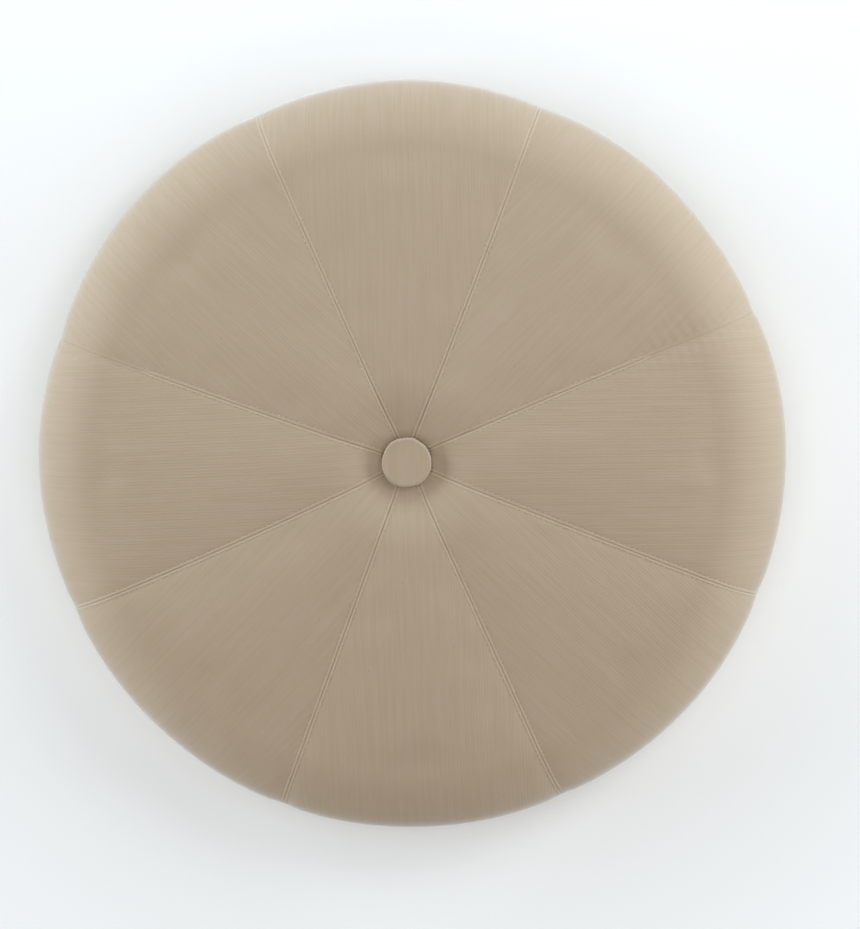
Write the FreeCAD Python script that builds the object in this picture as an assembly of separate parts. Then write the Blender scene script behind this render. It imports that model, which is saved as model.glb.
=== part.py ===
import FreeCAD, Part
import math
import os

Vector = FreeCAD.Vector
UP = Vector(0, 0, 1)
ORIGIN = Vector(0, 0, 0)

# Round chair seat pad, in millimetres. The origin is the centre of the underside, which is at
# height 0, and +Z is up. The pad is a plywood board with foam and wadding on it, under a cover
# of eight gores that a covered button pulls down in the middle.

# Outline of the finished pad
PAD_RADIUS = 215.0            # at the widest point
WIDEST_HEIGHT = 22.0          # of the widest point above the underside
SHOULDER_RADIUS = 42.0        # of the rolled upper edge
CROWN_ANGLE = 8.0             # slope of the crown where it meets the shoulder, in degrees
SIDE_ANGLE = 45.0             # how far the side turns in under the widest point, in degrees
CORNER_RADIUS = 4.0           # where the cover turns under the board
DIMPLE_RADIUS = 80.0          # of the curve that leads from the crown down to the button
DIMPLE_ANGLE = 24.0           # slope beside the button, in degrees
SEAT_FILLET = 5.0             # between that slope and the flat seat under the button
SEAT_MARGIN = 0.6             # from the button's edge in to the edge of its flat seat

# Cover
GORES = 8
FIRST_SEAM_ANGLE = 24.4       # of the first seam from +X, in degrees
COVER = 1.0                   # fabric with its backing
ALLOWANCE = 0.8               # thickness of a pressed seam allowance
ALLOWANCE_WIDTH = 9.0
ALLOWANCE_HEM = 2.4           # above the board, where the allowances are trimmed off
TIP_CLEARANCE = 0.6           # around the button's loop, between the gores' tips
HEM_WIDTH = 22.0              # of the hem under the board
ROW_OFFSET = 1.7              # from a seam to each of its two rows of topstitching
THREAD_WIDTH = 0.6
THREAD_PROUD = 0.15           # of the fabric
THREAD_SUNK = 0.25            # into the fabric

# Filling
WADDING = 8.0
TOPPER = 15.0
WADDING_HEM = 1.4             # above the board's underside, where the wadding ends
CHANNEL_CLEARANCE = 0.3       # around the button's loop, through the filling

# Board and tee nuts
BOARD = 12.0
BOARD_MARGIN = 3.7            # of pressed wadding between the board's edge and the cover
BOARD_UPPER_ROUND = 1.0
BOARD_LOWER_ROUND = 3.0
BOLT_CIRCLE = 220.0           # diameter
BOLTS = 4
FIRST_BOLT_ANGLE = 45.0
BOLT_RADIUS = 3.0             # M6, at the major diameter of the thread
BARREL_RADIUS = 3.9
BARREL_LENGTH = 9.0           # under the flange
BARREL_CLEARANCE = 0.1
FLANGE_RADIUS = 9.5
FLANGE = 1.3
PRONGS = 4
PRONG_LENGTH = 6.0
PRONG_WIDTH = 2.4
PRONG_REACH = 7.6             # from the nut's axis to the middle of a prong

# Button
BUTTON_RADIUS = 14.3
BUTTON_HEIGHT = 5.6
BUTTON_UPPER_ROUND = 1.8
BUTTON_LOWER_ROUND = 0.9
BUTTON_FABRIC = 0.8
CAP = 0.5                     # thickness of the cap's metal
CUP = 0.5                     # thickness of the cup's metal
CUP_DEPTH = 2.8
CUP_RISE = 0.2                # of the cup's floor above the button's lowest point
LOOP_WIRE = 0.7               # radius of the wire
LOOP_HALF_WIDTH = 2.2         # from the axis to the middle of each leg
LOOP_LEG = 3.0                # length of the straight legs under the button
LOOP_FOOT = 3.0               # length of each foot on the cup's floor

# Twine and its anchor
TWINE = 0.6                   # radius
TWINE_GAP = 0.05              # between the twine and the wire that it bends over
TWINE_CLEARANCE = 1.05        # around the two strands, through the board
RECESS_MARGIN = 2.0           # around the washer
RECESS_SPARE = 0.2            # between the knot and the board's underside
WASHER_RADIUS = 11.0
WASHER_CLEARANCE = 0.15       # around the two strands
WASHER = 1.2
KNOT_RADIUS = 3.0
KNOT_HEIGHT = 2.6
KNOT_ROUND = 1.1
TAIL_LENGTH = 7.0             # of each cut end of the twine, from the axis

# Staples and dust cover
DUST_COVER = 0.6
DUST_COVER_MARGIN = 4.0       # from the board's edge in to the dust cover's
DUST_BOLT_CLEARANCE = 1.0     # around the board's bolt holes
STAPLE_CROWN = 10.0           # length
STAPLE_WIRE = 1.2             # width of the wire
STAPLE_CROWN_THICKNESS = 0.4
STAPLE_LEG = 7.0              # from the top of the crown
STAPLE_LEG_THICKNESS = 0.6
HEM_STAPLES = 32
HEM_STAPLE_MARGIN = 15.0      # from the board's edge in to the staples
DUST_STAPLES = 24
DUST_STAPLE_MARGIN = 8.0

# Heights and radii that follow from the sizes above
BOARD_BOTTOM = DUST_COVER + COVER
BOARD_TOP = BOARD_BOTTOM + BOARD
FOAM_INSET = COVER + WADDING
SEAT_RADIUS = BUTTON_RADIUS - SEAT_MARGIN
LOOP_RADIUS = LOOP_HALF_WIDTH + LOOP_WIRE
TIP_RADIUS = LOOP_RADIUS + TIP_CLEARANCE
CHANNEL_RADIUS = LOOP_RADIUS + CHANNEL_CLEARANCE
TWINE_REACH = LOOP_WIRE + TWINE_GAP + TWINE
STRANDS_RADIUS = TWINE_REACH + TWINE
RECESS_DEPTH = WASHER + KNOT_HEIGHT + RECESS_SPARE
BOLT_HOLE_RADIUS = BARREL_RADIUS + BARREL_CLEARANCE
GORE_ANGLE = 360.0 / GORES
BEYOND = 2 * PAD_RADIUS       # past every face of the pad, for cutting tools

shoulder_centre = (PAD_RADIUS - SHOULDER_RADIUS, WIDEST_HEIGHT)
crown_radius = SHOULDER_RADIUS + shoulder_centre[0] / math.sin(math.radians(CROWN_ANGLE))
crown_drop = (crown_radius - SHOULDER_RADIUS) * math.cos(math.radians(CROWN_ANGLE))
crown_centre = (0.0, WIDEST_HEIGHT - crown_drop)

corner_rise = WIDEST_HEIGHT - DUST_COVER - CORNER_RADIUS
side_radius = CORNER_RADIUS + corner_rise / math.sin(math.radians(SIDE_ANGLE))
side_centre = (PAD_RADIUS - side_radius, WIDEST_HEIGHT)
corner_run = corner_rise / math.tan(math.radians(SIDE_ANGLE))
corner_centre = (side_centre[0] + corner_run, DUST_COVER + CORNER_RADIUS)

dimple_reach = SEAT_RADIUS + (SEAT_FILLET + DIMPLE_RADIUS) * math.sin(math.radians(DIMPLE_ANGLE))
crest_angle = math.degrees(math.asin(dimple_reach / (crown_radius - DIMPLE_RADIUS)))
dimple_rise = (crown_radius - DIMPLE_RADIUS) * math.cos(math.radians(crest_angle))
dimple_centre = (dimple_reach, crown_centre[1] + dimple_rise)
seat_drop = (SEAT_FILLET + DIMPLE_RADIUS) * math.cos(math.radians(DIMPLE_ANGLE))
SEAT_HEIGHT = dimple_centre[1] + seat_drop - SEAT_FILLET
seat_centre = (SEAT_RADIUS, SEAT_HEIGHT + SEAT_FILLET)
LOOP_BAR_HEIGHT = SEAT_HEIGHT - LOOP_LEG - LOOP_HALF_WIDTH
BOARD_RADIUS = corner_centre[0] + CORNER_RADIUS - COVER - BOARD_MARGIN


def on_circle(centre, radius, angle):
    """Point of a circle in the XZ plane, at an angle in degrees from +X."""
    a = math.radians(angle)
    return Vector(centre[0] + radius * math.cos(a), 0, centre[1] + radius * math.sin(a))


def arc(centre, radius, start, end):
    """Edge of a circle in the XZ plane, between two angles in degrees from +X."""
    middle = on_circle(centre, radius, (start + end) / 2)
    return Part.Arc(on_circle(centre, radius, start), middle, on_circle(centre, radius, end)).toShape()


def line(start, end):
    return Part.LineSegment(start, end).toShape()


def first_point(edge):
    return edge.valueAt(edge.FirstParameter)


def last_point(edge):
    return edge.valueAt(edge.LastParameter)


def revolved(edges):
    """Solid of revolution of edges that run in order, closed along the axis."""
    start = first_point(edges[0])
    end = last_point(edges[-1])
    top = Vector(0, 0, start.z)
    bottom = Vector(0, 0, end.z)
    closing = [line(end, bottom), line(bottom, top), line(top, start)]
    face = Part.Face(Part.Wire(list(edges) + closing))
    return face.revolve(ORIGIN, UP, 360)


def top_edges(inset):
    """The upper surface, from the button's seat to the end of the crown, sunk by inset."""
    seat = arc(seat_centre, SEAT_FILLET + inset, -90, DIMPLE_ANGLE - 90)
    dimple = arc(dimple_centre, DIMPLE_RADIUS - inset, 90 + DIMPLE_ANGLE, 90 - crest_angle)
    crown = arc(crown_centre, crown_radius - inset, 90 - crest_angle, 90 - CROWN_ANGLE)
    return [seat, dimple, crown]


def pad_within(inset):
    """Everything inside the pad's outer surface sunk by inset."""
    edges = top_edges(inset)
    edges.append(arc(shoulder_centre, SHOULDER_RADIUS - inset, 90 - CROWN_ANGLE, 0))
    if inset < CORNER_RADIUS:
        edges.append(arc(side_centre, side_radius - inset, 0, -SIDE_ANGLE))
        edges.append(arc(corner_centre, CORNER_RADIUS - inset, -SIDE_ANGLE, -90))
    else:
        edges.append(arc(side_centre, side_radius - inset, 0, -90))
    return revolved(edges)


def under_crown(inset):
    """Everything below the upper surface sunk by inset, with the crown carried on past the rim."""
    edges = top_edges(inset)
    rim = last_point(edges[-1])
    slope = math.radians(CROWN_ANGLE)
    run = BEYOND - rim.x
    out = Vector(BEYOND, 0, rim.z - run * math.tan(slope))
    edges.append(line(rim, out))
    edges.append(line(out, Vector(BEYOND, 0, -BEYOND)))
    return revolved(edges)


def disc(radius, bottom, top):
    return Part.makeCylinder(radius, top - bottom, Vector(0, 0, bottom), UP)


def rounded_disc(radius, bottom, top, upper_round, lower_round):
    shape = disc(radius, bottom, top)
    for height, size in ((top, upper_round), (bottom, lower_round)):
        if size > 0:
            rims = [e for e in shape.Edges if e.BoundBox.ZLength < 1e-6
                    and abs(e.BoundBox.ZMin - height) < 1e-6]
            shape = shape.makeFillet(size, rims)
    return shape


def box(low, high):
    size = high - low
    return Part.makeBox(size.x, size.y, size.z, low)


def turned(shape, angle):
    """Copy of a shape turned about the pad's axis, in degrees."""
    copy = shape.copy()
    copy.rotate(ORIGIN, UP, angle)
    return copy


def ring_of(shape, count, first_angle):
    """Copies of a shape, evenly spaced about the pad's axis."""
    return [turned(shape, first_angle + n * 360.0 / count) for n in range(count)]


def above(height):
    return disc(BEYOND, height, BEYOND)


def stitch_row(shell, side):
    """One row of topstitching beside the seam along +X, on its left (1) or its right (-1)."""
    middle = side * ROW_OFFSET
    low = Vector(BUTTON_RADIUS, middle - THREAD_WIDTH / 2, corner_centre[1])
    high = Vector(BEYOND, middle + THREAD_WIDTH / 2, BEYOND)
    return shell.common(box(low, high))


def staple(radius, bottom):
    """A staple driven up into the board, its crown along the rim at the given radius."""
    half = STAPLE_CROWN / 2
    low = radius - STAPLE_WIRE / 2
    high = radius + STAPLE_WIRE / 2
    crown_top = bottom + STAPLE_CROWN_THICKNESS
    shape = box(Vector(low, -half, bottom), Vector(high, half, crown_top))
    for start in (-half, half - STAPLE_LEG_THICKNESS):
        end = start + STAPLE_LEG_THICKNESS
        leg = box(Vector(low, start, crown_top), Vector(high, end, crown_top + STAPLE_LEG))
        shape = shape.fuse(leg)
    return shape.removeSplitter()


def tee_nut():
    """A pronged tee nut on the axis, its flange on the board."""
    barrel = disc(BARREL_RADIUS, BOARD_TOP - BARREL_LENGTH, BOARD_TOP)
    flange = disc(FLANGE_RADIUS, BOARD_TOP, BOARD_TOP + FLANGE)
    shape = barrel.fuse(flange)
    half = PRONG_WIDTH / 2
    inner = Vector(PRONG_REACH - FLANGE / 2, -half, BOARD_TOP - PRONG_LENGTH)
    outer = Vector(PRONG_REACH + FLANGE / 2, half, BOARD_TOP)
    for prong in ring_of(box(inner, outer), PRONGS, 0):
        shape = shape.fuse(prong)
    bore = disc(BOLT_RADIUS, 0, BEYOND)
    return shape.cut(bore).removeSplitter()


def on_bolt_circle(shape):
    shape.translate(Vector(BOLT_CIRCLE / 2, 0, 0))
    return Part.makeCompound(ring_of(shape, BOLTS, FIRST_BOLT_ANGLE))


def make_gore(rows, staples):
    """The gore between the seam along +X and the next one, with its allowances and its hem."""
    wedge = Part.makeCylinder(BEYOND, 2 * BEYOND, Vector(0, 0, -BEYOND), UP, GORE_ANGLE)
    inside = pad_within(COVER)
    fabric = pad_within(0).cut(inside).common(wedge)
    fabric = fabric.cut(disc(BOARD_RADIUS - HEM_WIDTH, 0, BOARD_BOTTOM)).cut(disc(TIP_RADIUS, 0, BEYOND))
    behind = inside.cut(pad_within(COVER + ALLOWANCE)).common(wedge)
    behind = behind.common(above(BOARD_TOP + ALLOWANCE_HEM)).cut(disc(TIP_RADIUS, 0, BEYOND))
    left = box(Vector(0, 0, 0), Vector(BEYOND, ALLOWANCE_WIDTH, BEYOND))
    right = turned(box(Vector(0, -ALLOWANCE_WIDTH, 0), Vector(BEYOND, 0, BEYOND)), GORE_ANGLE)
    allowances = behind.common(left.fuse(right))
    return fabric.fuse(allowances).cut(rows).cut(staples)


def make_button():
    """The button's cover, cap, back cup and wire loop, as named solids."""
    bottom = SEAT_HEIGHT
    top = bottom + BUTTON_HEIGHT
    hem = bottom + BUTTON_FABRIC
    cap_radius = BUTTON_RADIUS - BUTTON_FABRIC
    cap_top = top - BUTTON_FABRIC
    hollow_radius = cap_radius - CAP
    hollow = rounded_disc(hollow_radius, hem, cap_top - CAP, CAP, 0)
    cap_blank = rounded_disc(cap_radius, hem, cap_top, 2 * CAP, 0)
    cap = cap_blank.cut(hollow)

    cup_radius = hollow_radius - BUTTON_FABRIC
    cup_bottom = bottom + CUP_RISE
    cup_floor = cup_bottom + CUP
    cup_top = cup_bottom + CUP_DEPTH
    cup_blank = disc(cup_radius, cup_bottom, cup_top)
    cup = cup_blank.cut(disc(cup_radius - CUP, cup_floor, cup_top))

    cover = rounded_disc(BUTTON_RADIUS, bottom, top, BUTTON_UPPER_ROUND, BUTTON_LOWER_ROUND)
    cover = cover.cut(cap_blank.cut(disc(hollow_radius, bottom, cup_top)))
    cover = cover.cut(disc(cup_radius, bottom, cup_top))

    loop = make_loop(cup_floor)
    return {"button_cover": cover, "button_cap": cap, "button_back": cup.cut(loop), "button_loop": loop}


def make_loop(floor):
    """The wire eye: two legs through the cup's floor, feet on it, and a bend underneath."""
    bend_height = SEAT_HEIGHT - LOOP_LEG
    elbow_height = floor + LOOP_WIRE
    circle = Part.makeCircle(LOOP_WIRE, Vector(LOOP_HALF_WIDTH, 0, bend_height), UP)
    bend = Part.Face(Part.Wire(circle)).revolve(Vector(0, 0, bend_height), Vector(0, 1, 0), 180)
    shape = bend
    for side in (-1, 1):
        elbow = Vector(side * LOOP_HALF_WIDTH, 0, elbow_height)
        root = Vector(elbow.x, 0, bend_height)
        leg = Part.makeCylinder(LOOP_WIRE, elbow_height - bend_height, root, UP)
        foot = Part.makeCylinder(LOOP_WIRE, LOOP_FOOT, elbow, Vector(side, 0, 0))
        shape = shape.fuse(leg).fuse(foot).fuse(Part.makeSphere(LOOP_WIRE, elbow))
    return shape.removeSplitter()


def make_twine(bottom):
    """Two strands joined by a bend over the bar of the button's loop."""
    circle = Part.makeCircle(TWINE, Vector(0, TWINE_REACH, LOOP_BAR_HEIGHT), UP)
    bar = Vector(0, 0, LOOP_BAR_HEIGHT)
    shape = Part.Face(Part.Wire(circle)).revolve(bar, Vector(1, 0, 0), 180)
    for side in (-1, 1):
        root = Vector(0, side * TWINE_REACH, bottom)
        shape = shape.fuse(Part.makeCylinder(TWINE, LOOP_BAR_HEIGHT - bottom, root, UP))
    return shape.removeSplitter()


def make_anchor():
    """The washer in the board's recess, the knot under it and the twine that they hold."""
    washer_top = BOARD_BOTTOM + RECESS_DEPTH
    knot_top = washer_top - WASHER
    knot_bottom = knot_top - KNOT_HEIGHT
    washer = disc(WASHER_RADIUS, knot_top, washer_top)
    washer = washer.cut(disc(STRANDS_RADIUS + WASHER_CLEARANCE, knot_top, washer_top))
    knot = rounded_disc(KNOT_RADIUS, knot_bottom, knot_top, KNOT_ROUND, KNOT_ROUND)
    middle = Vector(0, 0, (knot_top + knot_bottom) / 2)
    for way in (Vector(1, 0.4, 0), Vector(-0.6, 1, 0)):
        knot = knot.fuse(Part.makeCylinder(TWINE, TAIL_LENGTH, middle, way))
    return {"anchor_washer": washer, "twine_knot": knot, "tufting_twine": make_twine(knot_top)}


def make_board(cuts):
    shape = rounded_disc(BOARD_RADIUS, BOARD_BOTTOM, BOARD_TOP, BOARD_UPPER_ROUND, BOARD_LOWER_ROUND)
    shape = shape.cut(disc(STRANDS_RADIUS + TWINE_CLEARANCE, 0, BEYOND))
    shape = shape.cut(disc(WASHER_RADIUS + RECESS_MARGIN, 0, BOARD_BOTTOM + RECESS_DEPTH))
    shape = shape.cut(on_bolt_circle(disc(BOLT_HOLE_RADIUS, 0, BEYOND)))
    return shape.cut(cuts)


def make_filling(gores):
    """The foam core, the softer topper on it and the wadding around both."""
    channel = disc(CHANNEL_RADIUS, 0, BEYOND)
    flange_pockets = on_bolt_circle(disc(FLANGE_RADIUS, BOARD_TOP, BOARD_TOP + FLANGE))
    foam = pad_within(FOAM_INSET).common(above(BOARD_TOP)).cut(channel)
    below_topper = under_crown(FOAM_INSET + TOPPER)
    core = foam.common(below_topper).cut(flange_pockets)
    topper = foam.cut(below_topper)
    beside_board = disc(BOARD_RADIUS, 0, BOARD_TOP)
    wadding = pad_within(COVER).common(above(BOARD_BOTTOM + WADDING_HEM)).cut(channel)
    wadding = wadding.cut(foam).cut(beside_board).cut(gores)
    return {"foam_core": core, "foam_topper": topper, "wadding_wrap": wadding}


def make_dust_cover(cuts):
    shape = disc(BOARD_RADIUS - DUST_COVER_MARGIN, 0, DUST_COVER)
    shape = shape.cut(on_bolt_circle(disc(BOLT_HOLE_RADIUS + DUST_BOLT_CLEARANCE, 0, DUST_COVER)))
    return shape.cut(cuts)


def make_pad():
    """Every node of the pad by name."""
    row_shell = pad_within(-THREAD_PROUD).cut(pad_within(THREAD_SUNK))
    rows = [stitch_row(row_shell, side) for side in (1, -1)]
    own_rows = Part.makeCompound([rows[0], turned(rows[1], GORE_ANGLE)])
    half_step = 180.0 / HEM_STAPLES
    hem_staple = staple(BOARD_RADIUS - HEM_STAPLE_MARGIN, DUST_COVER)
    hem_staples = Part.makeCompound(ring_of(hem_staple, HEM_STAPLES, half_step))
    dust_staple = staple(BOARD_RADIUS - DUST_STAPLE_MARGIN, 0)
    dust_staples = Part.makeCompound(ring_of(dust_staple, DUST_STAPLES, 0))
    tee_nuts = on_bolt_circle(tee_nut())
    all_staples = Part.makeCompound([turned(hem_staples, FIRST_SEAM_ANGLE), dust_staples])

    nodes = {}
    gore = make_gore(own_rows, hem_staples)
    for n in range(GORES):
        angle = FIRST_SEAM_ANGLE + n * GORE_ANGLE
        nodes[f"cover_gore_{n + 1}"] = turned(gore, angle).cut(dust_staples)
        nodes[f"topstitch_{n + 1}"] = Part.makeCompound([turned(row, angle) for row in rows])
    gores = Part.makeCompound([turned(gore, FIRST_SEAM_ANGLE + n * GORE_ANGLE) for n in range(GORES)])

    nodes.update(make_filling(gores))
    nodes.update(make_button())
    nodes.update(make_anchor())
    nodes["seat_board"] = make_board(Part.makeCompound([tee_nuts, all_staples]))
    nodes["tee_nuts"] = tee_nuts
    nodes["cover_staples"] = turned(hem_staples, FIRST_SEAM_ANGLE)
    nodes["dust_cover"] = make_dust_cover(dust_staples)
    nodes["dust_cover_staples"] = dust_staples
    return nodes


os.makedirs("parts", exist_ok=True)
for name, shape in make_pad().items():
    shape.exportStep(f"parts/{name}.step")
    sizes = shape.BoundBox
    print(f"{name}: {len(shape.Solids)} solids, {shape.Volume:.0f} mm3,"
          f" z {sizes.ZMin:.2f} to {sizes.ZMax:.2f}, valid {shape.isValid()}")
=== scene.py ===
import math

import bpy
import numpy as np
from mathutils import Matrix, Vector
from mathutils.geometry import delaunay_2d_cdt


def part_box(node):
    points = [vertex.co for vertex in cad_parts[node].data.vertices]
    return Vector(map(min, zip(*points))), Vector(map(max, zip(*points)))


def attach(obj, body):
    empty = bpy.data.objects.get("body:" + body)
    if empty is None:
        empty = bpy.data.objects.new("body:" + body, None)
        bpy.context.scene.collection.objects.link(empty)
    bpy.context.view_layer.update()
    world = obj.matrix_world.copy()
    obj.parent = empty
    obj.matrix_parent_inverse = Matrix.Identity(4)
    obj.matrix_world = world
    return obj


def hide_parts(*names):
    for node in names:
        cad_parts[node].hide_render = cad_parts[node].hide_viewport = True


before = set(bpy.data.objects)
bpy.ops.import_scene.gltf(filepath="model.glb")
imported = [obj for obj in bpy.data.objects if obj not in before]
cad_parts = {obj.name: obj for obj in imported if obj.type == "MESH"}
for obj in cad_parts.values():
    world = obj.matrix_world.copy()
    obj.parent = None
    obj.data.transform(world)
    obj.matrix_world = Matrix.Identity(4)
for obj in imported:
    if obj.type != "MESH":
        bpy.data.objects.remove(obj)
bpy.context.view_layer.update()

# Round chair seat pad, in metres, in the frame's own axes. The cover is eight gores of ribbed
# cloth with open, topstitched seams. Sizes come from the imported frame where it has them. The arcs
# of the pad's outline and the places of its seams are named here.

MM = 0.001
GORES = 8
CAD_GORES = ["cover_gore_%d" % (n + 1) for n in range(GORES)]


def joint_box(names):
    lows, highs = zip(*[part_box(n) for n in names])
    return np.min(np.array(lows), 0), np.max(np.array(highs), 0)


cover_low, cover_high = joint_box(CAD_GORES)
button_low, button_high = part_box("button_cover")
board_low, board_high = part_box("seat_board")
dust_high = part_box("dust_cover")[1]
core_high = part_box("foam_core")[1]

PAD_RADIUS = (cover_high[0] - cover_low[0]) / 2
HEM_LEVEL = cover_low[2]
SEAT_LEVEL = button_low.z
BUTTON_TOP = button_high.z
BUTTON_RADIUS = (button_high.x - button_low.x) / 2
BOARD_RADIUS = board_high.x
BOARD_BOTTOM, BOARD_TOP = board_low.z, board_high.z
DUST_RADIUS = dust_high.x
FOAM_RADIUS = core_high.x

FLANGE_RADIUS = 9.5 * MM
NUT_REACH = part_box("tee_nuts")[1].x - FLANGE_RADIUS
NUTS = [(x * NUT_REACH, y * NUT_REACH) for x in (1, -1) for y in (1, -1)]

# Arcs of the outline, from the widest point up to the button and down to the hem
WIDEST_LEVEL = 22.0 * MM
SHOULDER = 42.0 * MM
CROWN_ANGLE = 8.0
SIDE_ANGLE = 45.0
CORNER = 4.0 * MM
DIMPLE = 80.0 * MM
DIMPLE_ANGLE = 24.0
SEAT_FILLET = 5.0 * MM
SEAT_RADIUS = BUTTON_RADIUS - 0.6 * MM
TIP_RADIUS = 3.5 * MM
HEM_RADIUS = BOARD_RADIUS - 22.0 * MM
# Layers under the outline
COVER = 1.0 * MM
ALLOWANCE = 0.8 * MM
ALLOWANCE_WIDTH = 9.0 * MM
WADDING = 8.0 * MM
TOPPER = 15.0 * MM
CHANNEL = 3.2 * MM

# Seams as sewn: how far each one turns from an even spacing, in degrees
FIRST_SEAM = 24.4
SEAM_STEP = 360.0 / GORES
LEAN_AT_BUTTON = (-0.2, -1.7, 0.0, 2.2, 2.4, 0.8, 0.1, -0.9)
LEAN_AT_RIM = (-1.8, -0.1, -0.1, 2.0, 0.2, 0.5, -0.4, -0.9)
# How far each seam's line passes beside the button's axis, in millimetres anticlockwise
MISS = (1.8, 1.5, -0.7, -0.3, -0.3, 0.0, 0.8, 0.0)
# Fullness of the rim in millimetres, at each seam and at the middle of the gore after it
RIM_AT_SEAM = (-0.3, -0.2, 0.0, -1.3, -1.0, 1.2, 0.0, 0.0)
RIM_IN_GORE = (-0.9, 1.1, 0.5, -0.6, 0.4, 0.1, 0.0, 0.0)
# Height of the puckers, in millimetres, and how sharply each seam is pressed, near the rim
PUCKER_AT_RIM = (0.16, 0.03, 0.03, 0.13, 0.05, 0.03, 0.03, 0.03)
CRISP_AT_RIM = (0.05, 0.7, 0.7, 0.35, 1.0, 0.8, 0.9, 1.0)

# Topstitching
STITCH_PITCH = 3.2 * MM
STITCH_OFFSET = 1.8 * MM
THREAD_RADIUS = 0.22 * MM


def arc(centre, radius, start, end):
    """A stretch of the outline: positive radius bulges away from the filling."""
    return ("arc", centre, radius, math.radians(start), math.radians(end))


shoulder_centre = (PAD_RADIUS - SHOULDER, WIDEST_LEVEL)
crown_radius = SHOULDER + shoulder_centre[0] / math.sin(math.radians(CROWN_ANGLE))
crown_level = WIDEST_LEVEL - (crown_radius - SHOULDER) * math.cos(math.radians(CROWN_ANGLE))
corner_rise = WIDEST_LEVEL - HEM_LEVEL - CORNER
side_radius = CORNER + corner_rise / math.sin(math.radians(SIDE_ANGLE))
side_centre = (PAD_RADIUS - side_radius, WIDEST_LEVEL)
corner_run = corner_rise / math.tan(math.radians(SIDE_ANGLE))
corner_centre = (side_centre[0] + corner_run, HEM_LEVEL + CORNER)
dimple_reach = SEAT_RADIUS + (SEAT_FILLET + DIMPLE) * math.sin(math.radians(DIMPLE_ANGLE))
crest = math.degrees(math.asin(dimple_reach / (crown_radius - DIMPLE)))
dimple_level = crown_level + (crown_radius - DIMPLE) * math.cos(math.radians(crest))
seat_level = dimple_level + (SEAT_FILLET + DIMPLE) * math.cos(math.radians(DIMPLE_ANGLE)) - SEAT_FILLET

OUTLINE = [
    ("line", (TIP_RADIUS, seat_level), (SEAT_RADIUS, seat_level)),
    arc((SEAT_RADIUS, seat_level + SEAT_FILLET), -SEAT_FILLET, -90, DIMPLE_ANGLE - 90),
    arc((dimple_reach, dimple_level), DIMPLE, 90 + DIMPLE_ANGLE, 90 - crest),
    arc((0.0, crown_level), crown_radius, 90 - crest, 90 - CROWN_ANGLE),
    arc(shoulder_centre, SHOULDER, 90 - CROWN_ANGLE, 0),
    arc(side_centre, side_radius, 0, -SIDE_ANGLE),
    arc(corner_centre, CORNER, -SIDE_ANGLE, -90),
    ("line", (corner_centre[0], HEM_LEVEL), (HEM_RADIUS, HEM_LEVEL)),
]


def span(piece):
    if piece[0] == "line":
        return math.dist(piece[1], piece[2])
    return abs(piece[2] * (piece[4] - piece[3]))


STARTS = np.concatenate([[0.0], np.cumsum([span(p) for p in OUTLINE])])
LENGTH = STARTS[-1]
AT_BUTTON = STARTS[1]
AT_SHOULDER = STARTS[4]
AT_WIDEST = STARTS[5]
AT_CORNER = STARTS[6]
AT_HEM = STARTS[7]


def outline(s):
    """Radius, height and outward direction at distances along the outline from the cover's tip."""
    s = np.clip(np.asarray(s, float), 0, LENGTH)
    r, z, nr, nz = (np.zeros_like(s) for _ in range(4))
    for n, piece in enumerate(OUTLINE):
        last = n == len(OUTLINE) - 1
        here = (s >= STARTS[n]) & ((s <= STARTS[n + 1]) if last else (s < STARTS[n + 1]))
        t = (s[here] - STARTS[n]) / (STARTS[n + 1] - STARTS[n])
        if piece[0] == "line":
            a, b = np.array(piece[1]), np.array(piece[2])
            d = (b - a) / np.linalg.norm(b - a)
            r[here], z[here] = a[0] + t * (b - a)[0], a[1] + t * (b - a)[1]
            nr[here], nz[here] = -d[1], d[0]
        else:
            angle = piece[3] + t * (piece[4] - piece[3])
            radius, sign = abs(piece[2]), np.sign(piece[2])
            r[here] = piece[1][0] + radius * np.cos(angle)
            z[here] = piece[1][1] + radius * np.sin(angle)
            nr[here], nz[here] = sign * np.cos(angle), sign * np.sin(angle)
    return r, z, nr, nz


def smooth(x, low, high):
    t = np.clip((np.asarray(x, float) - low) / (high - low), 0, 1)
    return t * t * (3 - 2 * t)


def bell(x, middle, width):
    return np.exp(-(((np.asarray(x, float) - middle) / width) ** 2))


def blend_weights(t):
    """Catmull-Rom weights of the four samples round a place, which is t past the second one."""
    return (
        (-t + 2 * t**2 - t**3) / 2,
        (2 - 5 * t**2 + 3 * t**3) / 2,
        (t + 4 * t**2 - 3 * t**3) / 2,
        (-(t**2) + t**3) / 2,
    )


def round_the_pad(values, x):
    """Smooth value between the samples of a closed row."""
    base = np.floor(x).astype(int)
    total = 0
    for step, weight in enumerate(blend_weights(x - base)):
        total = total + weight * values[(base + step - 1) % len(values)]
    return total


class Waves:
    """Smooth noise in the plane, the same in every run."""

    def __init__(self, seed, count=24, low=0.6, high=1.6):
        rng = np.random.default_rng(seed)
        angle = rng.uniform(0, 2 * math.pi, count)
        size = rng.uniform(low, high, count)
        self.kx, self.ky = size * np.cos(angle), size * np.sin(angle)
        self.phase = rng.uniform(0, 2 * math.pi, count)
        self.scale = math.sqrt(2.0 / count)

    def at(self, x, y):
        x, y = np.broadcast_arrays(np.asarray(x, float), np.asarray(y, float))
        total = np.zeros(x.shape)
        for kx, ky, phase in zip(self.kx, self.ky, self.phase):
            total += np.sin(kx * x + ky * y + phase)
        return total * self.scale


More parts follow.
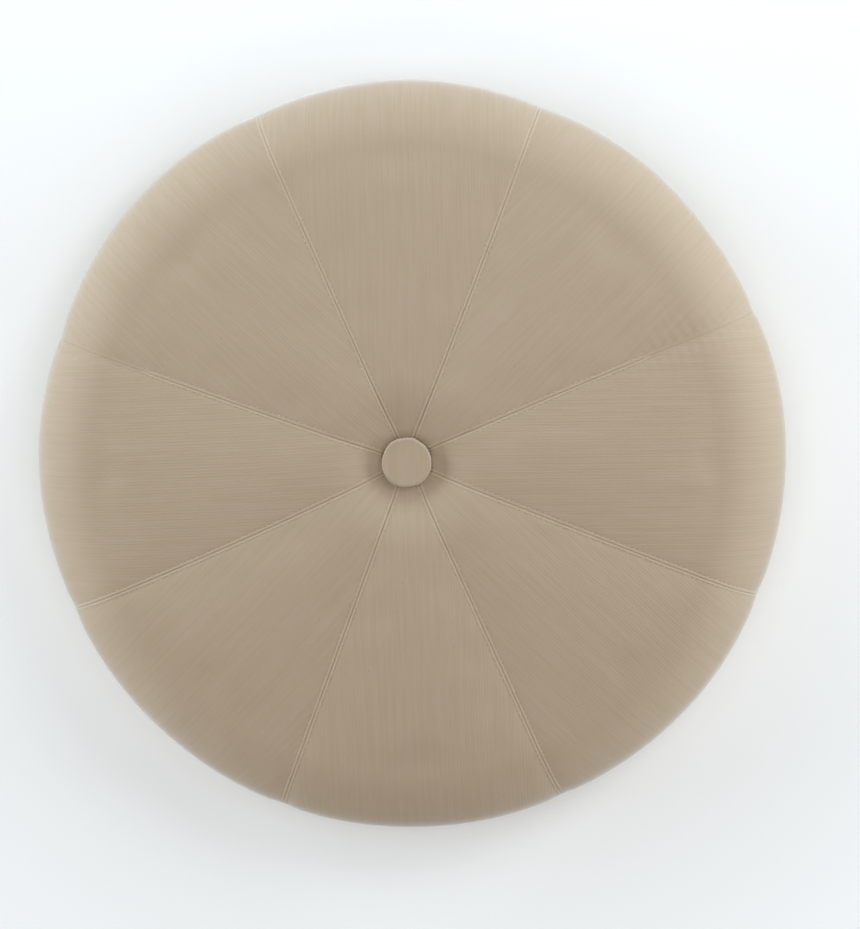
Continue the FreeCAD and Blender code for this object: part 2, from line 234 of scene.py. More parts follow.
def seam_angle(index, r):
    """Direction of a seam at a radius, in radians, as sewn."""
    turn = np.floor_divide(index, GORES)
    k = np.mod(index, GORES)
    near, far = np.array(LEAN_AT_BUTTON)[k], np.array(LEAN_AT_RIM)[k]
    lean = near + (far - near) * np.clip(r / PAD_RADIUS, 0, 1)
    beside = np.array(MISS)[k] * MM / np.maximum(r, 13 * MM)
    return np.radians(FIRST_SEAM + SEAM_STEP * k + 360.0 * turn + lean) + beside


def direction(s, place):
    """Angle about the axis for a place round the cover, counted in gores from the first seam."""
    r = outline(s)[0]
    gore = np.floor(place).astype(int)
    t = place - gore
    return seam_angle(gore, r) * (1 - t) + seam_angle(gore + 1, r) * t


# ---------------------------------------------------------------- swelling of the filled cover

SWELL_ROWS = 60
SWELL_COLUMNS = 20 * GORES
SWELL_START = -0.3 * MM       # of the cloth before it is pressed out
SEAM_PULL = -0.9 * MM         # further in, at a seam
SWELL_CAP = 1.5 * MM
SWELL_FRAMES = 20


def grid_faces(rows, columns, closed):
    wide = columns if closed else columns - 1
    i, j = np.meshgrid(np.arange(rows - 1), np.arange(wide), indexing="ij")
    k = (j + 1) % columns
    quads = [i * columns + j, (i + 1) * columns + j, (i + 1) * columns + k, i * columns + k]
    return np.stack(quads, -1).reshape(-1, 4)


def new_mesh(name, points, quads, smooth_shade=True):
    mesh = bpy.data.meshes.new(name)
    points = np.asarray(points, np.float32).reshape(-1, 3)
    quads = np.asarray(quads, np.int32)
    mesh.vertices.add(len(points))
    mesh.vertices.foreach_set("co", points.ravel())
    mesh.loops.add(quads.size)
    mesh.loops.foreach_set("vertex_index", quads.ravel())
    mesh.polygons.add(len(quads))
    mesh.polygons.foreach_set("loop_start", np.arange(len(quads), dtype=np.int32) * quads.shape[1])
    mesh.update(calc_edges=True)
    mesh.validate()
    mesh.polygons.foreach_set("use_smooth", np.full(len(mesh.polygons), smooth_shade))
    obj = bpy.data.objects.new(name, mesh)
    bpy.context.scene.collection.objects.link(obj)
    return obj


def keep(obj, name, values):
    """A number or vector of three per vertex, for the materials."""
    values = np.asarray(values, np.float32)
    kind = "FLOAT" if values.ndim == 1 else "FLOAT_VECTOR"
    attribute = obj.data.attributes.new(name, kind, "POINT")
    attribute.data.foreach_set("value" if kind == "FLOAT" else "vector", values.ravel())


def swollen():
    """How far the filling pushes the cloth out between the seams: a grid of outward distances."""
    s = np.linspace(AT_BUTTON, AT_HEM, SWELL_ROWS)
    place = np.arange(SWELL_COLUMNS) * GORES / SWELL_COLUMNS
    ss, pp = np.meshgrid(s, place, indexing="ij")
    r, z, nr, nz = outline(ss)
    angle = direction(ss, pp)
    ripple = Waves(11, 30, 0.5, 1.5).at(ss / (9 * MM), pp * 9)
    across = np.abs(pp - np.round(pp)) * r * math.radians(SEAM_STEP)
    start = SWELL_START + SEAM_PULL * np.exp(-across / (7 * MM)) + 0.05 * MM * ripple
    out = np.stack([nr * np.cos(angle), nr * np.sin(angle), nz], -1)
    base = np.stack([r * np.cos(angle), r * np.sin(angle), z], -1)
    points = base + start[..., None] * out
    obj = new_mesh("swell", points, grid_faces(SWELL_ROWS, SWELL_COLUMNS, True))
    held = obj.vertex_groups.new(name="held")
    column = np.arange(SWELL_ROWS * SWELL_COLUMNS) % SWELL_COLUMNS
    row = np.arange(SWELL_ROWS * SWELL_COLUMNS) // SWELL_COLUMNS
    fixed = (column % (SWELL_COLUMNS // GORES) == 0) | (row < 2) | (row > SWELL_ROWS - 3)
    held.add([int(n) for n in np.nonzero(fixed)[0]], 1.0, "REPLACE")
    cloth = obj.modifiers.new("Cloth", "CLOTH")
    settings = cloth.settings
    settings.quality = 6
    settings.mass = 0.25
    settings.tension_stiffness = 25
    settings.compression_stiffness = 25
    settings.shear_stiffness = 12
    settings.bending_stiffness = 12
    settings.use_pressure = True
    settings.uniform_pressure_force = 4.0
    settings.shrink_min = -0.002
    settings.vertex_group_mass = "held"
    settings.effector_weights.gravity = 0
    cloth.point_cache.frame_start = 1
    cloth.point_cache.frame_end = SWELL_FRAMES
    scene = bpy.context.scene
    for number in range(1, SWELL_FRAMES + 1):
        scene.frame_set(number)
    made = obj.evaluated_get(bpy.context.evaluated_depsgraph_get())
    found = np.zeros(len(obj.data.vertices) * 3, np.float32)
    made.data.vertices.foreach_get("co", found)
    moved = (found.reshape(points.shape) - base) * out
    mesh = obj.data
    bpy.data.objects.remove(obj)
    bpy.data.meshes.remove(mesh)
    scene.frame_set(1)
    height = moved.sum(-1)
    # the filling carries the cloth, so it is never pressed below where it started
    height = np.clip(np.maximum(height, start), -SWELL_CAP, SWELL_CAP)
    for _ in range(3):
        along = height.copy()
        along[1:-1] = (height[:-2] + 2 * height[1:-1] + height[2:]) / 4
        height = along
    return height


SWELL = swollen()
unevenness = Waves(5, 24, 0.6, 1.4)


def swell_at(s, place):
    """The swelling at any place on the cover, from the grid."""
    s, place = np.broadcast_arrays(np.asarray(s, float), np.asarray(place, float))
    x = (s - AT_BUTTON) / (AT_HEM - AT_BUTTON) * (SWELL_ROWS - 1)
    inside = smooth(x, 0, 2) * (1 - smooth(x, SWELL_ROWS - 3, SWELL_ROWS - 1))
    x = np.clip(x, 0, SWELL_ROWS - 1)
    y = place * SWELL_COLUMNS / GORES
    base, low = np.floor(x).astype(int), np.floor(y).astype(int)
    along, across = blend_weights(x - base), blend_weights(y - low)
    total = np.zeros(s.shape)
    for a in range(4):
        row = np.clip(base + a - 1, 0, SWELL_ROWS - 1)
        for b in range(4):
            total += along[a] * across[b] * SWELL[row, (low + b - 1) % SWELL_COLUMNS]
    return total * inside


def rim_fullness(place):
    """How far the widest edge stands out or in, round the pad."""
    values = np.ravel(np.column_stack([RIM_AT_SEAM, RIM_IN_GORE])) * MM
    return round_the_pad(values, np.asarray(place, float) * 2)


def on_cover(s, place, height):
    """Points of the finished cover: along the outline, round the pad, and out from the cloth."""
    s, place, height = np.broadcast_arrays(
        np.asarray(s, float), np.asarray(place, float), np.asarray(height, float)
    )
    r, z, nr, nz = outline(s)
    angle = direction(s, place)
    low = smooth(s, AT_BUTTON, AT_BUTTON + 12 * MM) * (1 - smooth(s, AT_CORNER - 6 * MM, AT_HEM))
    lumps = 0.35 * MM * unevenness.at(r * np.cos(angle) / (28 * MM), r * np.sin(angle) / (28 * MM))
    out = height + swell_at(s, place) + lumps * low
    full = rim_fullness(place) * smooth(s, AT_SHOULDER - 30 * MM, AT_WIDEST)
    full = full * (1 - smooth(s, AT_WIDEST, AT_CORNER))
    rr = r + out * nr + full
    return np.stack([rr * np.cos(angle), rr * np.sin(angle), z + out * nz], -1)


# ---------------------------------------------------------------- the gores

# Columns of the mesh beside a seam, closest where the cloth folds and where it is stitched
NEAR_SEAM = np.array([0.03, 0.1, 0.22, 0.4, 0.62, 0.95, 1.25, 1.5]) * MM
NEAR_SEAM = np.append(NEAR_SEAM, np.array([1.66, 1.8, 1.94, 2.1, 2.4, 2.9, 3.6]) * MM)
MIDDLE_COLUMNS = 26
pucker_noise = [Waves(40 + k, 16, 0.5, 1.5) for k in range(GORES)]


def near_rim(s):
    """1 on the rolled edge, 0 on the crown and on the lower side."""
    lower = smooth(s, AT_WIDEST - 8 * MM, AT_WIDEST + 14 * MM)
    return smooth(s, AT_SHOULDER - 55 * MM, AT_SHOULDER) * (1 - lower)


def crispness(s, seam):
    """How sharply a seam is pressed: some seams fade into loose cloth on the rolled edge."""
    return 1 - (1 - CRISP_AT_RIM[seam % GORES]) * near_rim(s)


def seam_relief(d, s, seam, scale):
    """Height of the cloth beside a seam: the fold, the ridge, the stitched groove and puckers."""
    x = d / np.maximum(scale, 1e-6)
    fold = -0.07 * np.clip(1 - x / (0.4 * MM), 0, 1) ** 2
    ridge = 0.22 * bell(x, 0.95 * MM, 0.5 * MM)
    hole = np.cos(math.pi * s / STITCH_PITCH) ** 2
    groove = -0.13 * bell(x, STITCH_OFFSET, 0.34 * MM) * (0.55 + 0.45 * hole)
    noise = pucker_noise[seam % GORES]
    patchy = smooth(noise.at(s / (16 * MM), 0), -0.2, 1.2)
    strength = 0.04 * patchy + PUCKER_AT_RIM[seam % GORES] * near_rim(s)
    wander = noise.at(s / (30 * MM), 3.0)
    wave = np.cos(2 * math.pi * s / (7.5 * MM) + 3.5 * wander + 0.12 * d / MM)
    wave = wave * (0.35 + 0.65 * smooth(noise.at(s / (11 * MM), 7.0), -0.8, 0.9))
    fading = np.exp(-np.maximum(x - 3.2 * MM, 0) / (8 * MM))
    pucker = strength * wave * smooth(x, 1.5 * MM, 3.2 * MM) * fading
    return ((fold + ridge + groove) * crispness(s, seam) + pucker) * MM * scale


def make_gore(n):
    """One wedge of the cover: a closed shell with its seam allowances pressed open behind it."""
    rows = int(round(LENGTH / (STITCH_PITCH / 2)))
    s = np.linspace(0, LENGTH, rows)
    r = outline(s)[0]
    half = r * (seam_angle(n + 1, r) - seam_angle(n, r)) / 2
    scale = np.clip(half / (5 * MM), 0, 1)[:, None]
    near = NEAR_SEAM[None, :] * scale
    t = np.linspace(0, 1, MIDDLE_COLUMNS + 1)[None, 1:]
    rest = near[:, -1:] + (half[:, None] - near[:, -1:]) * t
    d = np.concatenate([near, rest], 1)
    d = np.concatenate([d, d[:, -2::-1]], 1)
    columns = d.shape[1]
    left = np.arange(columns) < len(NEAR_SEAM) + MIDDLE_COLUMNS
    ss = np.repeat(s[:, None], columns, 1)
    across = np.where(left[None, :], d / (2 * half[:, None]), 1 - d / (2 * half[:, None]))
    place = n + across
    wide = np.repeat(scale, columns, 1)
    relief = np.where(left[None, :], seam_relief(d, ss, n, wide), seam_relief(d, ss, n + 1, wide))
    # under the board the hem is flat apart from small gathers where it turns the corner
    flat = smooth(ss, AT_CORNER, AT_HEM + 2 * MM)
    gathers = 0.22 * MM * np.cos(2 * math.pi * across * 17 + 1.3 * n) * bell(ss, AT_HEM, 9 * MM)
    relief = relief * (1 - 0.75 * flat) + gathers * smooth(d, 3 * MM, 9 * MM)
    outer = on_cover(ss, place, relief)
    trimmed = 1 - smooth(ss, AT_CORNER - 6 * MM, AT_CORNER)
    reach = np.minimum(ALLOWANCE_WIDTH, 0.9 * half)[:, None]
    folded = (1 - smooth(d, reach - 0.6 * MM, reach)) * trimmed
    rounding = 0.5 * MM * np.clip(1 - d / (0.5 * MM), 0, 1) ** 2
    depth = 0.92 * COVER + ALLOWANCE * folded - rounding * trimmed
    inner = on_cover(ss, place, -np.maximum(depth * np.clip(wide, 0.6, 1), 0.3 * MM))
    inner[..., 2] = np.maximum(inner[..., 2], outer[..., 2].min())
    points = np.concatenate([outer, inner[:, ::-1]], 1)
    loop = 2 * columns
    quads = [grid_faces(rows, loop, True)[:, ::-1]]
    j = np.arange(columns - 1)
    tip = np.stack([j, j + 1, loop - 2 - j, loop - 1 - j], -1)
    quads.append(tip)
    quads.append((tip + (rows - 1) * loop)[:, ::-1])
    obj = new_mesh("gore_%d" % (n + 1), points, np.concatenate(quads))
    angle = direction(ss, place)
    middle = (seam_angle(n, r) + seam_angle(n + 1, r))[:, None] / 2
    rr = r[:, None]
    u = rr * np.sin(angle - middle)
    v = ss - rr * (1 - np.cos(angle - middle))
    crisp = np.where(left[None, :], crispness(ss, n), crispness(ss, n + 1))
    marked = d + 3 * MM * smooth(1 - crisp, 0.3, 0.7)
    weave = np.stack([u + 0.4 * n, v, marked], -1)
    keep(obj, "weave", np.concatenate([weave, weave[:, ::-1]], 1).reshape(-1, 3))
    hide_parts(CAD_GORES[n])
    return obj


def make_topstitch(k):
    """Two rows of machine stitches, one each side of a seam."""
    rings, sides = 7, 6
    first, last = math.ceil(AT_BUTTON / STITCH_PITCH), math.floor(AT_CORNER / STITCH_PITCH)
    s0 = np.arange(first, last) * STITCH_PITCH
    t = np.linspace(0, 1, rings)
    s = s0[:, None] + STITCH_PITCH * (0.04 + 0.92 * t)[None, :]
    lift = -0.62 + 0.62 * np.sin(math.pi * t) ** 0.5
    swell = np.array([0.35, 0.85, 1.0, 1.0, 1.0, 0.85, 0.35])
    points, quads, count = [], [], 0
    for side in (-1, 1):
        r = outline(s)[0]
        width = r * math.radians(SEAM_STEP)
        for a in range(sides):
            turn = 2 * math.pi * a / sides
            d = STITCH_OFFSET + THREAD_RADIUS * swell[None, :] * math.cos(turn)
            height = (lift[None, :] * 0.34 - 0.06) * MM - 0.3 * MM * (1 - crispness(s, k))
            height = height + THREAD_RADIUS * swell[None, :] * math.sin(turn)
            points.append(on_cover(s, k + side * d / width, height))
    stitches = len(s0)
    rows = np.stack(points).reshape(2, sides, stitches, rings, 3).transpose(0, 2, 3, 1, 4)
    rows = rows.reshape(2 * stitches, rings * sides, 3)
    one = grid_faces(rings, sides, True)
    ends = np.array([[0, 1, 2, 3], [0, 3, 4, 5]])
    one = np.concatenate([one, ends, ends[:, ::-1] + (rings - 1) * sides])
    faces = (one[None] + (np.arange(2 * stitches) * rings * sides)[:, None, None]).reshape(-1, 4)
    obj = new_mesh("stitching_%d" % (k + 1), rows.reshape(-1, 3), faces)
    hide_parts("topstitch_%d" % (k + 1))
    return obj


# ---------------------------------------------------------------- filling

def revolved_section(name, section, columns=192, wrap=None):
    """Closed ring of revolution from points (radius, height), moved by wrap(points, place)."""
    section = np.asarray(section, float)
    place = np.arange(columns) * GORES / columns
    rows = len(section)
    points = np.zeros((rows, columns, 3))
    angle = direction(np.full(columns, AT_WIDEST), place)
    for n, (r, z) in enumerate(section):
        points[n] = np.stack([r * np.cos(angle), r * np.sin(angle), np.full(columns, z)], -1)
    if wrap:
        points = wrap(points, place)
    closed = np.concatenate([points, points[:1]], 0)
    faces = grid_faces(rows + 1, columns, True) % (rows * columns)
    return new_mesh(name, points, faces)


def sunk(depth, stretch):
    """Points (radius, height) of the outline sunk by a depth."""
    r, z, nr, nz = outline(stretch)
    return np.stack([r - depth * nr, z - depth * nz], -1)


def with_sunk_cover(depth, upper):
    """Rows that follow the swollen cover at a depth, for the outer face of the wadding."""
    def wrap(points, place):
        for n, s in enumerate(upper):
            points[n] = on_cover(np.full(len(place), s), place, -depth)
        return points
    return wrap


def make_wadding():
    depth = COVER + ALLOWANCE + 0.1 * MM
    upper = np.linspace(2.6 * MM, AT_CORNER + 2 * MM, 96)
    inner = sunk(COVER + WADDING, np.linspace(AT_WIDEST + 6 * MM, 2.6 * MM, 60))
    inner = inner[inner[:, 1] > BOARD_TOP]
    edge = [(BOARD_RADIUS + 0.05 * MM, BOARD_BOTTOM + 2.2 * MM), (BOARD_RADIUS + 0.05 * MM, BOARD_TOP)]
    section = np.concatenate([sunk(depth, upper), edge, [(FOAM_RADIUS, BOARD_TOP + 0.02 * MM)], inner])
    tuft = Waves(71, 40, 1.0, 3.0)
    follow = with_sunk_cover(depth, upper)

    def wrap(points, place):
        points = follow(points, place)
        x, y = points[..., 0] / (9 * MM), points[..., 1] / (9 * MM)
        fluff = 0.25 * MM * tuft.at(x, y)
        points[: len(upper), :, 2] -= np.abs(fluff[: len(upper)])
        return points

    obj = revolved_section("wadding", section, 192, wrap)
    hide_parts("wadding_wrap")
    return obj


def make_foams():
    inset = COVER + WADDING + 0.25 * MM
    made = []
    top = sunk(inset, np.linspace(4 * MM, AT_WIDEST, 90))
    split = sunk(inset + TOPPER, np.linspace(4 * MM, AT_SHOULDER, 70))
    split = split[split[:, 0] > CHANNEL]
    rim_level = split[-1, 1]
    run_out = FOAM_RADIUS - 0.3 * MM - split[-1, 0]
    last = (split[-1, 0] + run_out * 0.98, rim_level - run_out * math.tan(math.radians(CROWN_ANGLE)))
    side = top[top[:, 1] < last[1]]
    above = top[top[:, 1] >= last[1]]
    above = above[above[:, 0] > CHANNEL]
    pores = Waves(83, 30, 1.0, 2.4)

    def rough(points, place):
        points[..., 2] += 0.12 * MM * pores.at(points[..., 0] / (6 * MM), points[..., 1] / (6 * MM))
        return points

    topper_section = np.concatenate([above, [last], (split + [0, 0.06 * MM])[::-1]])
    topper = revolved_section("foam_topping", topper_section, 160, rough)
    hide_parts("foam_topper")

    bottom = np.linspace(FOAM_RADIUS - 1 * MM, CHANNEL, 60)
    core_side = np.concatenate([side, [(FOAM_RADIUS, BOARD_TOP + 4 * MM)]])
    on_board = [(r, BOARD_TOP + 0.05 * MM) for r in bottom]
    core_section = np.concatenate([split - [0, 0.06 * MM], [last], core_side, on_board])
    first = len(split) + 1 + len(core_side)

    def over_nuts(points, place):
        under = points[first:]
        for x, y in NUTS:
            away = np.hypot(under[..., 0] - x, under[..., 1] - y)
            under[..., 2] += 1.5 * MM * (1 - smooth(away, 10 * MM, 15 * MM))
        points[: len(split)] = rough(points[: len(split)], place)
        return points

    core = revolved_section("foam_base", core_section, 200, over_nuts)
    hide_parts("foam_core")
    return [topper, core]


# ---------------------------------------------------------------- button

def make_button():
    """The button's cloth: a disc drawn over the cap, faceted at the edge and tucked in under it."""
    top, seat, radius = BUTTON_TOP / MM, SEAT_LEVEL / MM, BUTTON_RADIUS / MM
    # (radius, height) in millimetres: the face and rolled edge, the hem in the cap, then the back
    outer = [(0.02, top - 0.22)]
    outer += [(r, top - 0.22 + 0.08 * (r / 12.0) ** 4) for r in np.linspace(0.9, 11.6, 13)]
    outer += [(12.3, top - 0.1), (12.9, top - 0.04), (13.4, top - 0.1), (13.85, top - 0.42)]
    outer += [(14.15, top - 0.9), (radius, top - 1.6), (radius, top - 2.6), (14.2, top - 3.4)]
    outer += [(13.95, top - 4.2), (13.5, seat + 0.35), (12.9, seat + 0.08), (12.2, seat + 0.05)]
    hem = [(11.85, seat + 0.25), (11.76, seat + 1.4), (11.76, seat + 2.8), (12.44, seat + 2.8)]
    inner = [(12.46, seat + 1.0), (13.42, seat + 0.84), (13.46, top - 2.2), (13.2, top - 1.15)]
    inner += [(12.6, top - 0.86), (6.0, top - 0.84), (0.02, top - 0.84)]
    section = np.array(outer + hem + inner)
    columns = 144
    angle = np.arange(columns) * 2 * math.pi / columns
    r = section[:, 0][:, None] * np.ones(columns)
    z = section[:, 1][:, None] * np.ones(columns)
    outside = np.zeros(len(section))
    outside[: len(outer)] = 1
    rim = outside * smooth(section[:, 0], 9, 13.4)
    lower = outside * (section[:, 1] < top - 1.2) * smooth(section[:, 0], 11.5, 13)
    facets = Waves(21, 14, 1.2, 3.4)
    edge = facets.at(2.6 * np.cos(angle), 2.6 * np.sin(angle))
    flats = 0.10 * np.abs(np.cos(5.5 * angle + 0.6)) * bell(angle, math.radians(55), 0.9)
    r = r * (1 + rim[:, None] * (0.014 * edge - 0.24 * flats - 0.008)[None, :])
    z = z + rim[:, None] * 0.10 * facets.at(1.7 * np.cos(angle) + 5, 1.7 * np.sin(angle))[None, :]
    folds = np.cos(46 * angle + 1.1 * facets.at(3 * np.cos(angle), 3 * np.sin(angle) + 9))
    r = r + lower[:, None] * 0.16 * folds[None, :]
    points = np.stack([r * np.cos(angle), r * np.sin(angle), z], -1) * MM
    faces = grid_faces(len(section), columns, True)
    caps = []
    for row in (0, len(section) - 1):
        base = row * columns
        for n in range(0, columns // 2 - 1):
            quad = [base + n, base + n + 1, base + columns - 2 - n, base + columns - 1 - n]
            caps.append(quad if row == 0 else quad[::-1])
    obj = new_mesh("button", points, np.concatenate([faces, np.array(caps)]))
    flat = points.reshape(-1, 3)
    along = np.concatenate([[0], np.cumsum(np.hypot(*np.diff(section, axis=0).T))]) * MM
    reach = np.repeat(along, columns) / np.maximum(np.hypot(flat[:, 0], flat[:, 1]), 1e-5)
    reach = np.clip(reach, 1, 4)
    weave = np.stack([flat[:, 0] * reach + 3.3, flat[:, 1] * reach + 1.0, np.full(len(flat), 0.02)], -1)
    keep(obj, "weave", weave)
    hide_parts("button_cover")
    return obj


# ---------------------------------------------------------------- dust cover

def make_dust_cover():
    """The nonwoven disc under the board, pulled up a little between its staples."""
    def ring(centre, radius, count):
        angles = [2 * math.pi * n / count for n in range(count)]
        return [Vector((centre[0] + radius * math.cos(a), centre[1] + radius * math.sin(a))) for a in angles]

    hole_radius = 5.0 * MM
    loops = [ring((0, 0), DUST_RADIUS, 220)] + [ring(c, hole_radius, 28) for c in NUTS]
    points, edges = [], []
    for loop in loops:
        first = len(points)
        points += loop
        edges += [(first + n, first + (n + 1) % len(loop)) for n in range(len(loop))]
    step = 5.0 * MM
    reach = int(DUST_RADIUS / step) + 1
    for i in range(-reach, reach + 1):
        for j in range(-reach, reach + 1):
            x, y = (i + 0.5 * (j % 2)) * step, j * step * 0.866
            inside = math.hypot(x, y) < DUST_RADIUS - 2.5 * MM
            clear = all(math.hypot(x - c[0], y - c[1]) > hole_radius + 2 * MM for c in NUTS)
            if inside and clear:
                points.append(Vector((x, y)))
    made, _, triangles, *_ = delaunay_2d_cdt(points, edges, [], 0, 1e-7)
    flat = np.array([tuple(p) for p in made])
    keepers = []
    for tri in triangles:
        middle = flat[list(tri)].mean(0)
        if all(math.hypot(*(middle - c)) > hole_radius * 0.995 for c in NUTS):
            keepers.append(list(tri))
    tris = np.array(keepers)
    area2 = np.cross(flat[tris[:, 1]] - flat[tris[:, 0]], flat[tris[:, 2]] - flat[tris[:, 0]])
    tris[area2 < 0] = tris[area2 < 0][:, ::-1]
    radius = np.hypot(flat[:, 0], flat[:, 1])
    angle = np.arctan2(flat[:, 1], flat[:, 0])
    sag = Waves(91, 26, 0.5, 1.5)
    low = 0.16 + 0.07 * sag.at(flat[:, 0] / (22 * MM), flat[:, 1] / (22 * MM))
    low = low + 0.06 * np.cos(24 * angle) * smooth(radius, DUST_RADIUS - 30 * MM, DUST_RADIUS - 4 * MM)
    low = np.clip(low, 0.04, 0.26)
    lower = np.column_stack([flat, low * MM])
    upper = np.column_stack([flat, np.minimum(low + 0.4, 0.59) * MM])
    count = len(flat)
    faces = [np.array(tris)[:, ::-1], np.array(tris) + count]
    edge_count = {}
    for a, b, c in tris:
        for e in ((a, b), (b, c), (c, a)):
            edge_count[e] = edge_count.get(e, 0) + 1
    walls = []
    for a, b in edge_count:
        if (b, a) not in edge_count:
            walls += [(a, b, b + count), (a, b + count, a + count)]
    faces.append(np.array(walls))
    obj = new_mesh("bottom_cloth", np.concatenate([lower, upper]), np.concatenate(faces), True)
    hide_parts("dust_cover")
    return obj


# ---------------------------------------------------------------- materials

def colour(hexa):
    """Linear colour from a display colour."""
    parts = [int(hexa[n:n + 2], 16) / 255 for n in (0, 2, 4)]
    return tuple(p / 12.92 if p <= 0.04045 else ((p + 0.055) / 1.055) ** 2.4 for p in parts) + (1.0,)


class Nodes:
    """A material's node tree, with short ways to add nodes to it."""

    def __init__(self, name):
        self.material = bpy.data.materials.new(name)
        self.material.use_nodes = True
        self.tree = self.material.node_tree
        self.tree.nodes.clear()
        self.out = self.tree.nodes.new("ShaderNodeOutputMaterial")
        self.shader = self.tree.nodes.new("ShaderNodeBsdfPrincipled")
        self.link(self.shader.outputs[0], self.out.inputs["Surface"])

    def link(self, a, b):
        self.tree.links.new(a, b)

    def node(self, kind, inputs=None, **settings):
        made = self.tree.nodes.new(kind)
        for key, value in settings.items():
            setattr(made, key, value)
        for key, value in (inputs or {}).items():
            socket = made.inputs[key]
            if isinstance(value, bpy.types.NodeSocket):
                self.link(value, socket)
            else:
                socket.default_value = value
        return made

    def math(self, operation, a, b=0.0, c=0.0):
        made = self.node("ShaderNodeMath", {0: a, 1: b, 2: c}, operation=operation)
        return made.outputs[0]

    def vector(self, operation, a, b=(0, 0, 0)):
        made = self.node("ShaderNodeVectorMath", {0: a, 1: b}, operation=operation)
        return made.outputs[0]

    def noise(self, where, scale, detail=2.0, rough=0.5, distortion=0.0):
        inputs = {"Vector": where, "Scale": scale, "Detail": detail}
        inputs.update({"Roughness": rough, "Distortion": distortion})
        return self.node("ShaderNodeTexNoise", inputs).outputs["Fac"]

    def ramp(self, value, low, high, to_low=0.0, to_high=1.0):
        made = self.node(
            "ShaderNodeMapRange",
            {"Value": value, "From Min": low, "From Max": high, "To Min": to_low, "To Max": to_high},
        )
        made.interpolation_type = "SMOOTHSTEP"
        return made.outputs[0]

    def mix(self, factor, a, b):
        made = self.tree.nodes.new("ShaderNodeMix")
        made.data_type = "RGBA"
        for socket, value in ((made.inputs[0], factor), (made.inputs[6], a), (made.inputs[7], b)):
            if isinstance(value, bpy.types.NodeSocket):
                self.link(value, socket)
            else:
                socket.default_value = value
        return made.outputs[2]

    def scaled(self, base, factor):
        """A colour times a number that varies over the surface."""
        grey = self.node("ShaderNodeCombineXYZ", {0: factor, 1: factor, 2: factor}).outputs[0]
        return self.vector("MULTIPLY", base, grey)

    def bump(self, height, distance, strength):
        inputs = {"Height": height, "Distance": distance, "Strength": strength}
        return self.node("ShaderNodeBump", inputs).outputs[0]

    def line(self, value, where, near, far, strength):
        """A soft line where a value is near a place."""
        away = self.math("ABSOLUTE", self.math("SUBTRACT", value, where))
        return self.ramp(away, near, far, strength, 0.0)

    def finish(self, **values):
        for name, value in values.items():
            socket = self.shader.inputs[name.replace("_", " ")]
            if isinstance(value, bpy.types.NodeSocket):
                self.link(value, socket)
            else:
                socket.default_value = value
        return self.material


